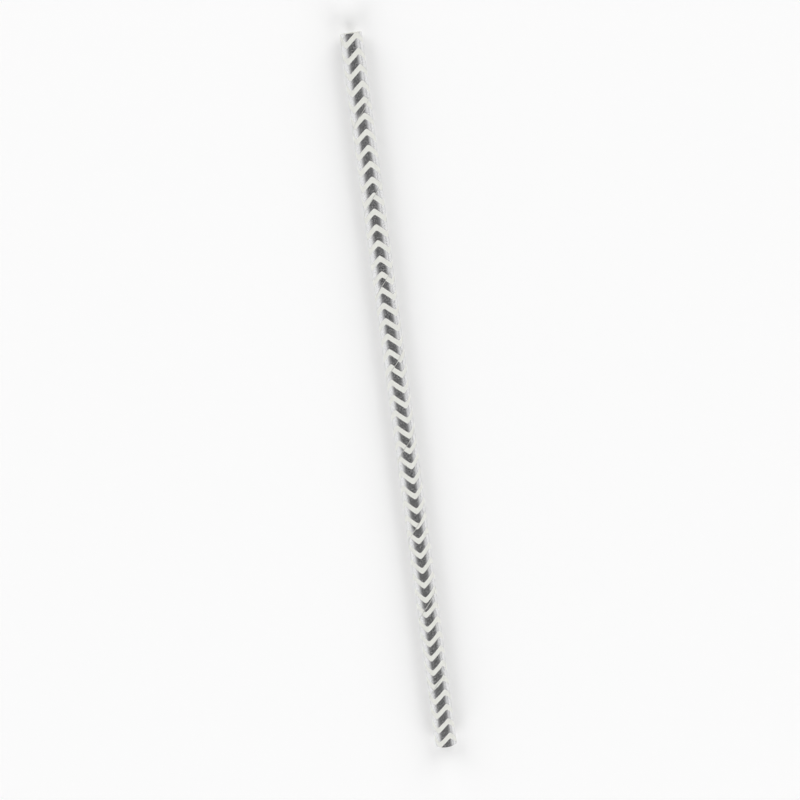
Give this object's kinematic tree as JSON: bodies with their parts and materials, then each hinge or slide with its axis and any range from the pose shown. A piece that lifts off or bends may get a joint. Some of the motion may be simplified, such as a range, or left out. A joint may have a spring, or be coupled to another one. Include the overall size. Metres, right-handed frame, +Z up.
{
  "type": "paper drinking straw",
  "caption": "Straight white paper drinking straw, a thin spiral-wound tube open at both ends, with zigzag chevron bands of shiny silver foil all the way along it.",
  "frame": {"origin": "on the ground under the middle of the straw, which lies on its side", "axes": "+Y along the straw towards its drinking end, +Z up"},
  "size_m": [0.006, 0.197, 0.006],
  "materials": {
    "paper": "matte",
    "silver_foil": "gloss"
  },
  "bodies": {
    "root": {"paper_tube": "paper", "silver_foil_chevrons": "silver_foil"}
  },
  "joints": []
}
